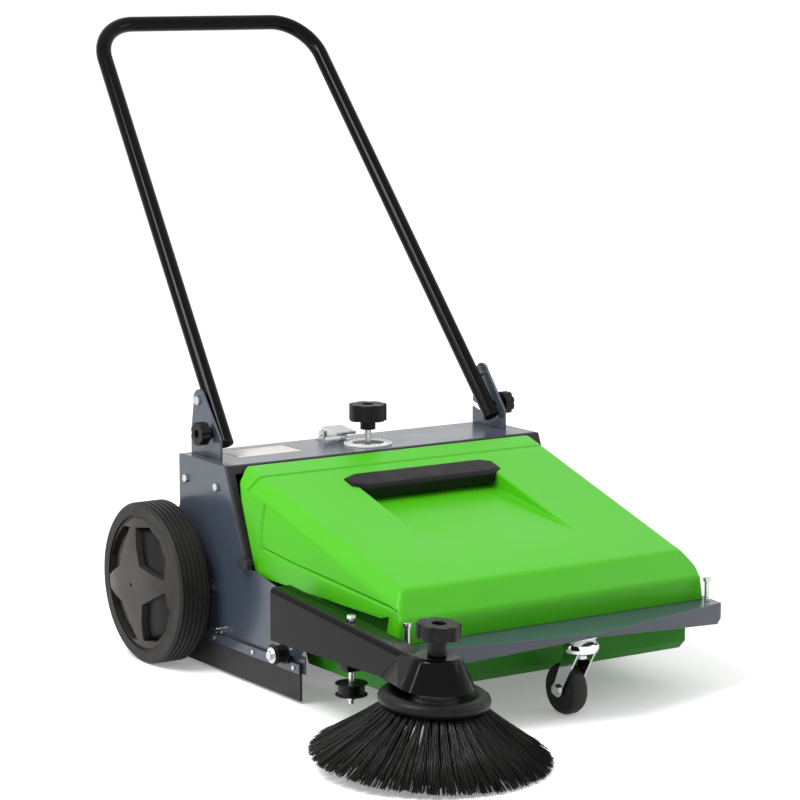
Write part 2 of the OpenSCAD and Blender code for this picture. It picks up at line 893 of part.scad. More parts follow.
// Opening in the cover's slanted rear wall, that faces the main brush
module hopper_mouth() {
  half = hopper_top_w / 2 + overhang / 10;
  lintel = 30;
  reach = 3 * hopper_wall;
  low = flange_z - 8;
  high = hopper_top_z - lintel;
  lean_y = (hopper_rear_top - hopper_back) * (high - neck_z) / (hopper_top_z - neck_z);
  slab_x(-half, half) polygon([
    [hopper_back + 1, low], [hopper_back + 1, neck_z], [hopper_back + lean_y + 1, high],
    [hopper_back + lean_y - reach, high], [hopper_back - reach, neck_z], [hopper_back - reach, low]
  ]);
}

// Height of the sloping top at a distance ahead of or behind the wheel axle
function top_at(y) = hopper_nose + (y + hopper_fore) * tan(slope);

// Tapered hand well in front of the grip
module grip_well(wall) {
  deep = 34;
  flat = 70;
  long = 258;
  above = 20;
  back = grip_y + grip_half_y;
  translate([0, back, top_at(back)]) rotate([slope, 0, 0])
    slab_x(-grip_w / 2 - wall, grip_w / 2 + wall) polygon([
      [wall, above], [wall, -deep - wall], [-flat, -deep - wall], [-long - wall, 0.01], [-long - wall, above]
    ]);
}

module hopper_grip() {
  thick = 18;
  sunk = 14;
  cut = 22;
  half = grip_w / 2;
  color(gloss_black) place() translate([0, grip_y, top_at(grip_y)]) rotate([slope, 0, 0])
    translate([0, 0, -sunk]) linear_extrude(thick) polygon([
      [-half, -14], [cut - half, -grip_half_y], [half - cut, -grip_half_y], [half, -14],
      [half, 10], [half - cut, grip_half_y], [cut - half, grip_half_y], [-half, 10]
    ]);
}

module hopper_tub() {
  rim = hopper_half - 2;
  color("#3f9a1c") place() {
    difference() {
      tub_solid(0);
      tub_solid(hopper_wall);
    }
    for (s = [0, 1]) mirror([s, 0, 0]) translate([tub_half - hopper_wall, tub_front + 8, tub_lid])
      cube([rim - tub_half + hopper_wall, tub_back - tub_front - 8, flange_z - tub_lid]);
  }
}

module tub_solid(inset) {
  lid = tub_lid + (inset > 0 ? 1 : 0);
  floor_z = tub_low + inset;
  corner = 14;
  slant_y = 20;
  slant_z = 40;
  slab_x(inset - tub_half, tub_half - inset) polygon([
    [tub_front + inset, lid], [tub_front + inset, floor_z + corner], [tub_front + corner + inset, floor_z],
    [tub_back - slant_y - inset, floor_z], [tub_back - inset, tub_low + slant_z], [tub_back - inset, lid]
  ]);
}

module hopper_screws() {
  head = 3;
  step = (tub_back - tub_front - 40 - screw_end) / 2;
  color(zinc) place() for (s = [-1, 1], i = [0 : 2])
    translate([s * (tub_half + 10), tub_front + screw_end + step * i, tub_lid - head])
      cylinder(h = head, d = 9);
}

module hopper_pins() {
  head = 6;
  color(zinc) place() for (s = [-1, 1]) translate([s * (front_half - 12), lip_y - 14, plate_h]) {
    cylinder(h = pin_h - head, d = 8);
    translate([0, 0, pin_h - head]) cylinder(h = head, d = 12);
  }
}

// Swivel caster under the front plate
module caster_plate() {
  head = plate_h - sheet_t;
  base = [64, 52, 4];
  race = 4;
  pin = 26;
  foot = 5;
  color(zinc) place() translate([0, caster_y, head - base[2]]) {
    translate([-base[0] / 2, -base[1] / 2, 0]) cube(base);
    translate([0, 0, -race]) cylinder(h = race, d = 46);
    translate([0, 0, -race - pin]) cylinder(h = pin, d = caster_pin_d);
    translate([0, 0, -race - pin - foot]) cylinder(h = foot, d = caster_pin_d + 6);
  }
}

module caster_fork() {
  head = plate_h - sheet_t - 8 - gap;
  crown = 20;
  leg_t = 3;
  leg_in = caster_w / 2 + 2;
  crown_low = head - crown;
  bore_r = caster_pin_d / 2 + run;
  wheel_y = caster_y + caster_trail;
  color("#d8dadc") place() difference() {
    union() {
      translate([0, caster_y, crown_low]) rotate_extrude()
        polygon([[bore_r, 0], [24, 0], [26, 6], [26, 12], [20, crown], [bore_r, crown]]);
      for (s = [0, 1]) mirror([s, 0, 0]) slab_x(leg_in, leg_in + leg_t) difference() {
        union() {
          polygon([
            [caster_y - 16, crown_low + 3], [caster_y + 16, crown_low + 3],
            [wheel_y + 10, caster_axle_z], [wheel_y - 10, caster_axle_z]
          ]);
          translate([wheel_y, caster_axle_z]) circle(r = 11);
        }
        translate([wheel_y, caster_axle_z]) circle(d = caster_bolt_d);
      }
    }
    translate([0, caster_y, crown_low - 30]) cylinder(h = 30 + 6, d = caster_pin_d + 7);
  }
}

module caster_axle() {
  out = caster_w / 2 + 5;
  head_h = 5;
  color(zinc) place() at_yz(caster_y + caster_trail, caster_axle_z) {
    rod_x(-out, out, caster_bolt_d);
    for (s = [0, 1]) mirror([s, 0, 0]) translate([out, 0, 0]) rotate([0, 90, 0])
      hex_head(caster_bolt_d * 1.6, head_h);
  }
}

module caster_hub() {
  color(dark_plastic) place() at_yz(caster_y + caster_trail, caster_axle_z) difference() {
    rod_x(-caster_w / 2, caster_w / 2, caster_d - 2 * caster_tread);
    rod_x(-caster_w, caster_w, caster_bolt_d + 2 * run);
  }
}

module caster_tyre() {
  color(rubber_black) place() at_yz(caster_y + caster_trail, caster_axle_z) rotate([0, 90, 0])
    translate([0, 0, -caster_w / 2]) rotate_extrude() polygon([
      [caster_d / 2 - caster_tread, 0], [caster_d / 2 - 3, 0], [caster_d / 2, 6],
      [caster_d / 2, caster_w - 6], [caster_d / 2 - 3, caster_w], [caster_d / 2 - caster_tread, caster_w]
    ]);
}

// Puts a piece that is made upright about the Z axis into the leaning frame of the side brush
module brush_frame() {
  translate([brush_x, -side_fore, brush_turn_z]) rotate([lean_fore, lean_in, 0])
    translate([0, 0, -brush_turn_z]) children();
}

// Side brush arm: an open channel that runs out into a dome over the brush
module arm_channel() {
  side = [
    [arm_back, arm_top], [arm_back, arm_top - arm_deep], [arm_neck, arm_roof - arm_nose], [arm_neck, arm_roof]
  ];
  roof = [
    [arm_back, arm_top], [arm_back, arm_top - arm_t], [arm_neck, arm_roof - arm_t], [arm_neck, arm_roof]
  ];
  slab_x(-arm_in - arm_w, -arm_in - arm_w + arm_t) polygon(side);
  slab_x(-arm_in - arm_t, -arm_in) polygon(side);
  slab_x(-arm_in - arm_w, -arm_in) polygon(roof);
}

// Nose of the arm: the channel's end section drawn out to the dome, smaller all round by the wall
module arm_nose_form(wall, below) {
  lap = 2;
  hull() {
    translate([wall - arm_in - arm_w, arm_neck, arm_roof - arm_nose - below])
      cube([arm_w - 2 * wall, lap, arm_nose + below - wall]);
    brush_frame() translate([0, 0, dome_low - below]) {
      cylinder(h = below + 1, r = dome_r - wall);
      cylinder(h = dome_h + below - wall - 4, r1 = dome_r - wall, r2 = dome_top_r - wall);
      cylinder(h = dome_h + below - wall, r = dome_top_r - wall - 5);
    }
  }
}

module side_arm() {
  crown = 10;
  color(gloss_black) place() difference() {
    union() {
      arm_channel();
      difference() {
        arm_nose_form(0, 0);
        arm_nose_form(arm_t, 12);
      }
      brush_frame() translate([0, 0, dome_low + dome_h - crown]) cylinder(h = crown - 1, r = spindle_d);
    }
    at_yz(arm_pivot_y, arm_pivot_z) rod_x(-arm_in - arm_t - 1, -arm_in + 1, arm_pin_d + 2 * run);
    translate([-arm_mid, idler_y, 0]) cylinder(h = 2 * arm_top, d = roller_bolt_d);
    brush_frame() cylinder(h = 2 * arm_top, d = spindle_d + 2 * run);
  }
}

module arm_pivot_pin() {
  head_h = 5;
  head_gap = 1;
  head_in = -arm_in - arm_t - head_gap;
  color(zinc) place() at_yz(arm_pivot_y, arm_pivot_z) {
    rod_x(-arm_in + gap, -inner_w, arm_pin_d + 14);
    rod_x(head_in, -arm_in + gap, arm_pin_d);
    translate([head_in - head_h, 0, 0]) rotate([0, 90, 0]) hex_head(arm_pin_d + 8, head_h);
  }
}

module side_brush_spindle() {
  base = ring_low + ring_seat;
  color(zinc) place() brush_frame() translate([0, 0, base]) {
    cylinder(h = dome_low + dome_h - 1 - base, d = spindle_d);
    cylinder(h = spindle_flange_t, r = spindle_flange_r);
  }
}

// Fat rubber ring with a sunk middle, where the spindle's flange sits
module side_brush_ring() {
  bore_r = 12;
  backing = 4;
  edge = ring_d / 2;
  color(rubber_black) place() brush_frame() translate([0, 0, ring_low]) rotate_extrude() polygon([
    [bore_r, backing], [edge - 5, backing], [edge, backing + 5], [edge, ring_t - 7], [edge - 6, ring_t],
    [edge - 17, ring_t], [edge - 22, ring_seat], [bore_r, ring_seat]
  ]);
}

// Strands fan out in rows from a thin ring; each is a three-sided prism
function strand_ring(r, z, a, t) = [
  [r * cos(a) - t * sin(a) / 2, r * sin(a) + t * cos(a) / 2, z],
  [r * cos(a) + t * sin(a) / 2, r * sin(a) - t * cos(a) / 2, z],
  [(r + t) * cos(a), (r + t) * sin(a), z]
];

module strand(row, i) {
  step = 360 / row_strands;
  a = step * i + step / 3 * row;
  r_top = ring_d / 2 - 26 + 8 * row;
  r_tip = side_brush_d / 2 - strand_t - 24 * (strand_rows - 1 - row);
  polyhedron(
    points = concat(strand_ring(r_top, strand_len + 2, a, strand_t), strand_ring(r_tip, 0, a, strand_t)),
    faces = [[2, 1, 0], [3, 4, 5], [4, 3, 0], [1, 4, 0], [5, 4, 1], [2, 5, 1], [3, 5, 2], [0, 3, 2]]
  );
}

module side_brush_bristles() {
  backing = 4;
  color(rubber_black) place() brush_frame() translate([0, 0, tip_z])
    resize([0, 0, strand_len + backing]) union() {
      translate([0, 0, strand_len]) difference() {
        cylinder(h = backing, r = ring_d / 2 - 3, $fn = 48);
        translate([0, 0, -1]) cylinder(h = backing + 2, r = ring_d / 2 - 40, $fn = 48);
      }
      for (row = [0 : strand_rows - 1], i = [0 : row_strands - 1]) strand(row, i);
    }
}

module side_brush_knob() {
  stem = 24;
  stem_d = 26;
  head = 20;
  dish = 10;
  dish_d = 20;
  color(gloss_black) place() brush_frame() translate([0, 0, dome_low + dome_h + gap]) {
    cylinder(h = stem, d = stem_d);
    translate([0, 0, stem]) difference() {
      star_knob(side_knob_d, head, 8);
      translate([0, 0, head - dish]) cylinder(h = dish + 1, d = dish_d);
    }
  }
}

// Belt guide rollers of the side brush drive
module belt_roller() {
  near = half_w + 8;
  wide = 20;
  cheek = 2;
  color(rubber_black) place() at_yz(roller_y, roller_z) difference() {
    union() {
      rod_x(-near - wide, -near, 26);
      rod_x(-near - wide, -near - wide + cheek, 32);
      rod_x(-near - cheek, -near, 32);
    }
    rod_x(-near - wide - 1, -near + 1, roller_bolt_d + 2 * run);
  }
}

module belt_roller_bolt() {
  out = half_w + 29;
  washer = 2;
  head_h = 5;
  color(zinc) place() at_yz(roller_y, roller_z) {
    rod_x(-out, -half_w, roller_bolt_d);
    rod_x(-out - washer, -out, roller_bolt_d * 3);
    translate([-out - washer - head_h, 0, 0]) rotate([0, 90, 0]) hex_head(roller_bolt_d * 1.75, head_h);
    rod_x(-half_w - 7, -half_w, roller_bolt_d * 2);
  }
}

module arm_idler() {
  cheek = 2;
  groove_d = 38;
  cheek_d = 46;
  color(rubber_black) place() translate([-arm_mid, idler_y, idler_low]) difference() {
    union() {
      cylinder(h = idler_h, d = groove_d);
      cylinder(h = cheek, d = cheek_d);
      translate([0, 0, idler_h - cheek]) cylinder(h = cheek, d = cheek_d);
    }
    translate([0, 0, -1]) cylinder(h = idler_h + 2, d = roller_bolt_d + 2 * run);
  }
}

module arm_idler_bolt() {
  nut_h = 5;
  tail = 12;
  head_d = roller_bolt_d * 1.75;
  lowest = idler_low - tail;
  share = (idler_y - arm_neck) / (arm_back - arm_neck);
  roof = arm_roof + share * (arm_top - arm_roof);
  under = arm_roof - arm_nose + share * (arm_top - arm_deep - arm_roof + arm_nose);
  spacer = 11;
  color(zinc) place() translate([-arm_mid, idler_y, 0]) {
    translate([0, 0, lowest]) cylinder(h = roof + 2 - lowest, d = roller_bolt_d);
    translate([0, 0, idler_low - nut_h - 1]) difference() {
      hex_head(head_d, nut_h);
      translate([0, 0, -1]) cylinder(h = nut_h + 2, d = roller_bolt_d);
    }
    translate([0, 0, under - spacer]) cylinder(h = spacer, d = head_d + 8);
    translate([0, 0, roof + 2]) hex_head(head_d, nut_h);
  }
}

// Rubber skirts that close the brush chamber to the floor
module skirts() {
  skirt_h = side_low + skirt_lap - skirt_gap;
  rear_w = 2 * inner_w - 4;
  color(rubber_black) place() {
    for (s = [0, 1]) mirror([s, 0, 0])
      translate([half_w, skirt_front, skirt_gap]) cube([skirt_t, skirt_back - skirt_front, skirt_h]);
    translate([-rear_w / 2, low_rear, skirt_gap]) cube([rear_w, skirt_t, skirt_h]);
  }
}

module skirt_strips() {
  rear_w = 2 * inner_w - 4;
  color(steel_grey) place() {
    for (s = [0, 1]) mirror([s, 0, 0])
      translate([half_w + skirt_t, skirt_front, side_low])
        cube([strip_t, skirt_back - skirt_front, skirt_lap]);
    translate([-rear_w / 2, low_rear + skirt_t, side_low]) cube([rear_w, strip_t, skirt_lap]);
  }
}

module skirt_rivets() {
  head = half_w + skirt_t + strip_t;
  first = -side_reach + rivet_end;
  step = (skirt_back - rivet_rear - first) / (rivet_n - 1);
  color(zinc) place() for (s = [0, 1]) mirror([s, 0, 0]) for (i = [0 : rivet_n - 1])
    at_yz(first + step * i, side_low + skirt_lap / 2) rod_x(head, head + 2, 7);
}

module wing_bolts() {
  stud = 10;
  stud_d = 9;
  wing_span = 34;
  wing_t = 4;
  color(zinc) place() for (s = [0, 1]) mirror([s, 0, 0]) at_yz(wing_y, wing_z) {
    rod_x(half_w, half_w + stud, stud_d);
    translate([half_w + stud - wing_t, -wing_span / 2, -wing_t / 2]) cube([wing_t, wing_span, wing_t]);
  }
}

module side_bolts() {
  color(zinc) place() for (s = [0, 1]) mirror([s, 0, 0]) for (y = side_bolt_ys)
    at_yz(y, housing_h - side_bolt_drop) translate([half_w, 0, 0]) rotate([0, 90, 0]) hex_head(13, 5);
}

side_plate_left();
side_plate_right();
top_plate();
rear_plate();
front_seal();
frame_rails();
front_plate();
handle_bracket_left();
handle_bracket_right();
push_handle();
handle_end_caps();
handle_pivot_bolts();
lock_knob_left();
lock_knob_right();
stub_axle_left();
stub_axle_right();
wheel_hub_left();
wheel_hub_right();
tyre_left();
tyre_right();
wheel_ring_gear();
axle_nuts();
main_brush_shaft();
main_brush_core();
main_brush_bristles();
brush_pinion();
brush_bearings();
height_knob();
height_screw();
height_nut();
height_dial();
latch_base();
latch_lever();
latch_pin();
hopper_cover();
hopper_tub();
hopper_grip();
hopper_screws();
hopper_pins();
caster_plate();
caster_fork();
caster_axle();
caster_hub();
caster_tyre();
side_arm();
arm_pivot_pin();
side_brush_spindle();
side_brush_ring();
side_brush_bristles();
side_brush_knob();
belt_roller();
belt_roller_bolt();
arm_idler();
arm_idler_bolt();
skirts();
skirt_strips();
skirt_rivets();
wing_bolts();
side_bolts();
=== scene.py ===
"""Walk-behind push sweeper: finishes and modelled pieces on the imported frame."""
import json
import math
import random

import bmesh
import bpy
from mathutils import Matrix, Vector

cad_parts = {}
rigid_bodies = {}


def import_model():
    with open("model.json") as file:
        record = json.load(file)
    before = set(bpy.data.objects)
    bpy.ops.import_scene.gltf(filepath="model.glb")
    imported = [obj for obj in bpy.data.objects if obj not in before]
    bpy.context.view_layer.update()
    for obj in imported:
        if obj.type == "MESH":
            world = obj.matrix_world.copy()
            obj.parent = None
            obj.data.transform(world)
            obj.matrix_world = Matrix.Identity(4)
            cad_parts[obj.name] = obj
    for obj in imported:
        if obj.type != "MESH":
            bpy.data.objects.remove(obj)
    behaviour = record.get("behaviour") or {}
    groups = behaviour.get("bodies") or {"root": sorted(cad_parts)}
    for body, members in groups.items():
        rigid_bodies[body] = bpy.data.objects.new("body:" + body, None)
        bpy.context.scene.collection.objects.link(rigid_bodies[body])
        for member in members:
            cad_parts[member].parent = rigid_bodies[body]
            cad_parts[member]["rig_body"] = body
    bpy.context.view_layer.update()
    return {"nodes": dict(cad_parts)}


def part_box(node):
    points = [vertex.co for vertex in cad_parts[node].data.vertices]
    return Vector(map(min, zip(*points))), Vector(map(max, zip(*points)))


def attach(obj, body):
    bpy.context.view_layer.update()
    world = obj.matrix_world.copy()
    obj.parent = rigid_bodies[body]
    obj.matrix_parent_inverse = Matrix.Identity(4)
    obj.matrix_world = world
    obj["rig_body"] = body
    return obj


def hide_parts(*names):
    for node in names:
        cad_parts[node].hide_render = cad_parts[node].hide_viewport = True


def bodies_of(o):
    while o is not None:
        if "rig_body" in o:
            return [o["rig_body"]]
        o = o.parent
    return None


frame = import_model()
nodes = frame["nodes"]

MM = 0.001


# Machine frame: X from the middle of the housing, Y from the wheel axle, Z from the floor, in millimetres

def middle(node):
    """Centre of a CAD node in the row frame."""
    low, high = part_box(node)
    return (low + high) / 2


ORIGIN = Vector((middle("top_plate").x, middle("tyre_left").y, 0))
MACHINE = Matrix.Translation(ORIGIN) @ Matrix.Scale(MM, 4)


def span(node):
    """Lowest and highest corner of a CAD node in the machine frame."""
    low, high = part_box(node)
    return (low - ORIGIN) / MM, (high - ORIGIN) / MM


def body_of(node):
    """Name of the body that a CAD node rides on."""
    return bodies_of(nodes[node])[0]


# Materials

def linear(hex_colour):
    """Linear RGBA of an sRGB hex colour."""
    shares = [int(hex_colour[i:i + 2], 16) / 255 for i in (1, 3, 5)]
    return [s / 12.92 if s <= 0.04045 else ((s + 0.055) / 1.055) ** 2.4 for s in shares] + [1]


def add(tree, kind, settings, links):
    """Adds a node. Settings are its attributes; links are socket values, or (node, output) pairs."""
    made = tree.nodes.new("ShaderNode" + kind)
    for name, value in settings.items():
        setattr(made, name, value)
    for socket, value in links.items():
        if isinstance(value, tuple):
            tree.links.new(value[0].outputs[value[1]], made.inputs[socket])
        else:
            made.inputs[socket].default_value = value
    return made


def finish(name, colours, rough, patch_mm, grain_mm, depth_mm, sockets):
    """Material whose colour and roughness drift in patches, over a fine surface grain."""
    made = bpy.data.materials.new(name)
    made.use_nodes = True
    tree = made.node_tree
    shader = tree.nodes["Principled BSDF"]
    for socket, value in sockets.items():
        shader.inputs[socket].default_value = value
    place = add(tree, "TexCoord", {}, {})
    patch = add(tree, "TexNoise", {}, {
        "Vector": (place, "Object"), "Scale": 1 / (patch_mm * MM), "Detail": 4.0, "Roughness": 0.6})
    colour = add(tree, "Mix", {"data_type": "RGBA"}, {
        0: (patch, 0), 6: linear(colours[0]), 7: linear(colours[1])})
    gloss = add(tree, "MapRange", {}, {0: (patch, 0), 1: 0.3, 2: 0.7, 3: rough[0], 4: rough[1]})
    grain = add(tree, "TexNoise", {}, {
        "Vector": (place, "Object"), "Scale": 1 / (grain_mm * MM), "Detail": 2.0})
    relief = add(tree, "Bump", {}, {"Height": (grain, 0), "Distance": depth_mm * MM, "Strength": 0.6})
    tree.links.new(colour.outputs[2], shader.inputs["Base Color"])
    tree.links.new(gloss.outputs[0], shader.inputs["Roughness"])
    tree.links.new(relief.outputs[0], shader.inputs["Normal"])
    return made


# Powder-coated sheet steel: satin slate paint with a fine orange peel, drawn at 1.6 mm so that it shows
painted_steel = finish("powder_coated_steel", ("#3a4351", "#424b58"), (0.2, 0.28), 90, 1.6, 0.02,
                       {"IOR": 1.5, "Coat Weight": 0.2, "Coat Roughness": 0.12})
# Stoved black lacquer on steel tube and sheet: thin clear highlights, and a weak mirror so that it stays black
# in a white room
gloss_black = finish("black_lacquered_steel", ("#040405", "#070708"), (0.08, 0.14), 70, 5, 0.01,
                     {"IOR": 1.3, "Specular IOR Level": 0.25})
# Moulded black nylon: soft sheen and a fine spark-eroded grain
black_plastic = finish("moulded_black_nylon", ("#080808", "#0e0d0d"), (0.36, 0.48), 25, 1.2, 0.05, {"IOR": 1.3})
# Moulded grey polypropylene of the wheel discs: waxy, a little dusty
hub_plastic = finish("moulded_grey_polypropylene", ("#2e2c2a", "#373432"), (0.36, 0.5), 60, 1.5, 0.05, {"IOR": 1.35})
# Tyre rubber: matt, greyed by floor dust in patches
tyre_rubber = finish("vulcanised_tyre_rubber", ("#191817", "#242221"), (0.46, 0.62), 35, 1.8, 0.08, {"IOR": 1.35})
# Sheet rubber of skirts and seals: dull black with a cloth-pressed face
black_rubber = finish("pressed_sheet_rubber", ("#1e1d1e", "#292829"), (0.5, 0.66), 40, 1.4, 0.06, {"IOR": 1.4})
# Zinc plated steel: bright, slightly clouded passivation
zinc = finish("zinc_plated_steel", ("#b9c0c4", "#d2d4cf"), (0.22, 0.36), 12, 1.0, 0.02, {"Metallic": 1.0})
# Chromium plate: mirror finish with faint polishing haze
chrome = finish("chromium_plate", ("#d4d7da", "#e2e4e6"), (0.05, 0.1), 20, 2.0, 0.005, {"Metallic": 1.0})
# Rotationally moulded polyethylene: saturated green, satin, with a faint pebble from the mould
green_poly = finish("moulded_green_polyethylene", ("#49b612", "#50be17"), (0.28, 0.4), 120, 2.4, 0.05,
                    {"IOR": 1.36, "Subsurface Weight": 0.08, "Subsurface Radius": [0.002, 0.004, 0.001]})
# The tub is the same plastic, coloured a darker green that paints the shade it stands in under the lid
tub_poly_in_painted_shade = finish("moulded_green_polyethylene_painted_shade", ("#2a8610", "#319214"), (0.42, 0.54), 120, 2.4, 0.05,
                  {"IOR": 1.32})
# Printed white enamel of the dial
dial_white = finish("white_stove_enamel", ("#e9e8e4", "#f2f1ee"), (0.25, 0.35), 30, 2.0, 0.01, {"IOR": 1.5})
# Printing ink of the dial marks
dial_ink = finish("black_printing_ink", ("#17171a", "#222226"), (0.5, 0.6), 8, 1.0, 0.01, {"IOR": 1.45})
# Matt film label, left blank
label_film = finish("matt_polyester_film", ("#d3cec6", "#dedad3"), (0.45, 0.55), 30, 1.5, 0.01, {"IOR": 1.5})


def bristle_finish():
    """Black polypropylene filament: each strand has its own grey, and is paler and duller at its tip."""
    made = bpy.data.materials.new("extruded_polypropylene_filament")
    made.use_nodes = True
    tree = made.node_tree
    shader = tree.nodes["Principled BSDF"]
    shader.inputs["IOR"].default_value = 1.35
    strand = add(tree, "Attribute", {"attribute_name": "strand"}, {})
    shade = add(tree, "ValToRGB", {}, {"Fac": (strand, "Fac")})
    shade.color_ramp.elements[0].color = linear("#0b0b0c")
    shade.color_ramp.elements[1].color = linear("#34322f")
    gloss = add(tree, "MapRange", {}, {0: (strand, "Fac"), 1: 0.0, 2: 1.0, 3: 0.34, 4: 0.55})
    tree.links.new(shade.outputs[0], shader.inputs["Base Color"])
    tree.links.new(gloss.outputs[0], shader.inputs["Roughness"])
    return made


bristle = bristle_finish()


# Making pieces

def once(items):
    """The items once each, in the order they come, so that every run gives the same mesh."""
    return list(dict.fromkeys(items))


def settle(bm, name, body, material, replaced=(), sharp=35, frame_matrix=MACHINE):
    """Turns a mesh in machine millimetres into a finished piece on its body."""
    bmesh.ops.recalc_face_normals(bm, faces=bm.faces)
    bm.transform(frame_matrix)
    mesh = bpy.data.meshes.new(name)
    bm.to_mesh(mesh)
    bm.free()
    mesh.shade_smooth()
    mesh.set_sharp_from_angle(angle=math.radians(sharp))
    mesh.materials.append(material)
    made = bpy.data.objects.new(name, mesh)
    bpy.context.scene.collection.objects.link(made)
    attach(made, body)
    if replaced:
        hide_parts(*replaced)
    return made


def flat_shading(made):
    """Keeps broad faces flat beside rounded edges."""
    made.modifiers.new("broad faces", "WEIGHTED_NORMAL").keep_sharp = True
    return made


def round_edges(bm, width, segments=2, angle=32):
    """Rounds the edges that are sharper than the angle."""
    edges = [e for e in bm.edges if len(e.link_faces) == 2 and e.calc_face_angle(0) > math.radians(angle)]
    bmesh.ops.bevel(bm, geom=edges, offset=width, segments=segments, profile=0.5, affect="EDGES",
                    clamp_overlap=True, material=-1)


def soften(node, material, width, segments=2):
    """Stands for a CAD node: the same shape with its edges rounded."""
    bm = bmesh.new()
    bm.from_mesh(nodes[node].data)
    bmesh.ops.remove_doubles(bm, verts=bm.verts, dist=0.004 * MM)
    bmesh.ops.dissolve_limit(bm, angle_limit=math.radians(0.6), verts=bm.verts, edges=bm.edges)
    round_edges(bm, width * MM, segments)
    return flat_shading(settle(bm, node + "_dressed", body_of(node), material, (node,),
                               frame_matrix=Matrix.Identity(4)))


def prism(bm, outline, depth):
    """A solid from a flat outline and the vector along which it is drawn out."""
    face = bm.faces.new([bm.verts.new(p) for p in outline])
    drawn = bmesh.ops.extrude_face_region(bm, geom=[face])["geom"]
    moved = [v for v in drawn if isinstance(v, bmesh.types.BMVert)]
    bmesh.ops.translate(bm, verts=moved, vec=depth)
    return moved


def lathe(bm, profile, centre, axis, steps=64):
    """A turned solid from an open profile of points in the plane through the axis."""
    verts = [bm.verts.new(p) for p in profile]
    edges = [bm.edges.new(pair) for pair in zip(verts, verts[1:])]
    bmesh.ops.spin(bm, geom=verts + edges, cent=centre, axis=axis, angle=2 * math.pi, steps=steps, use_merge=True)
    bmesh.ops.remove_doubles(bm, verts=bm.verts, dist=0.001)


# Plates, brackets and fittings that keep their CAD shape, with rounded edges: width of the rounding in mm

for node in ("side_plate_left", "side_plate_right", "top_plate", "rear_plate", "front_plate"):
    soften(node, painted_steel, 0.9)
for node in ("handle_bracket_left", "handle_bracket_right", "frame_rails", "skirt_strips"):
    soften(node, painted_steel, 0.8)
for node in ("lock_knob_left", "lock_knob_right"):
    soften(node, black_plastic, 1.6, 3)
for node in ("height_knob", "side_brush_knob"):
    soften(node, black_plastic, 2.6, 3)
for node in ("belt_roller", "arm_idler", "handle_end_caps", "main_brush_core", "brush_pinion", "caster_hub"):
    soften(node, black_plastic, 0.5)
for node in ("tyre_left", "tyre_right", "caster_tyre"):
    soften(node, tyre_rubber, 0.7)
for node in ("front_seal", "skirts"):
    soften(node, black_rubber, 1.0)
for node in ("handle_pivot_bolts", "stub_axle_left", "stub_axle_right", "axle_nuts", "height_nut", "latch_base",
             "latch_lever", "hopper_screws", "hopper_pins", "caster_plate", "caster_axle", "arm_pivot_pin",
             "belt_roller_bolt", "arm_idler_bolt", "skirt_rivets", "wing_bolts", "side_bolts", "brush_bearings",
             "main_brush_shaft", "side_brush_spindle", "height_screw", "latch_pin"):
    soften(node, zinc, 0.5)
soften("caster_fork", chrome, 1.2, 3)
soften("height_dial", dial_white, 0.5)
soften("wheel_ring_gear", hub_plastic, 0.3)
# The tub takes the darker green that paints its shade
soften("hopper_tub", tub_poly_in_painted_shade, 3.0, 3)


# Handle: one tube bent twice

TUBE_R = 12.5
LEG_HALF = 249
BAR_HALF = 204
LEG_LOW = Vector((0, -66, 342))
BAR = Vector((0, 429, 967))
BEND_R = 75
BEND_STEPS = 18


def push_handle():
    """The U tube: a ring drawn up a leg, swung through a bend, along the bar and down again."""
    rise = (BAR - LEG_LOW).length
    splay = math.atan2(LEG_HALF - BAR_HALF, rise)
    cut = BEND_R * math.tan((math.pi / 2 - splay) / 2)
    straight = rise / math.cos(splay) - cut
    leg = Vector((-math.sin(splay), 0, math.cos(splay)))
    bm = bmesh.new()
    ring = bmesh.ops.create_circle(bm, cap_ends=False, radius=TUBE_R, segments=40)["verts"]
    turn = Vector((0, 0, 1)).rotation_difference(leg).to_matrix()
    bmesh.ops.rotate(bm, verts=ring, cent=(0, 0, 0), matrix=turn)
    bmesh.ops.translate(bm, verts=ring, vec=(LEG_HALF, 0, 0))
    ends = bm.edges[:]

    def draw(edges, vec):
        """Draws an open rim straight on."""
        drawn = bmesh.ops.extrude_edge_only(bm, edges=edges)["geom"]
        bmesh.ops.translate(bm, verts=[v for v in drawn if isinstance(v, bmesh.types.BMVert)], vec=vec)
        return [e for e in drawn if isinstance(e, bmesh.types.BMEdge)]

    def bend(edges, centre):
        """Swings an open rim through a bend."""
        rim = once(v for e in edges for v in e.verts)
        swung = bmesh.ops.spin(bm, geom=rim + edges, cent=centre, axis=(0, -1, 0),
                               angle=math.pi / 2 - splay, steps=BEND_STEPS)["geom_last"]
        return [e for e in swung if isinstance(e, bmesh.types.BMEdge)]

    centre_x = BAR_HALF - cut
    edges = draw(ends, leg * straight)
    edges = bend(edges, (centre_x, 0, rise - BEND_R))
    edges = draw(edges, (-2 * centre_x, 0, 0))
    edges = bend(edges, (-centre_x, 0, rise - BEND_R))
    edges = draw(edges, Vector((leg.x, 0, -leg.z)) * straight)
    for rim in (ends, edges):
        bmesh.ops.contextual_create(bm, geom=rim)
    bmesh.ops.remove_doubles(bm, verts=bm.verts, dist=0.01)
    lean = Vector((0, 0, 1)).rotation_difference((BAR - LEG_LOW).normalized()).to_matrix()
    bmesh.ops.rotate(bm, verts=bm.verts, cent=(0, 0, 0), matrix=lean)
    bmesh.ops.translate(bm, verts=bm.verts, vec=LEG_LOW)
    settle(bm, "push_handle_tube", "handle", gloss_black, ("push_handle",), 50)


push_handle()


# Hopper cover: a moulded lid with chamfered shoulders, a rear rim, a side groove and a hand well

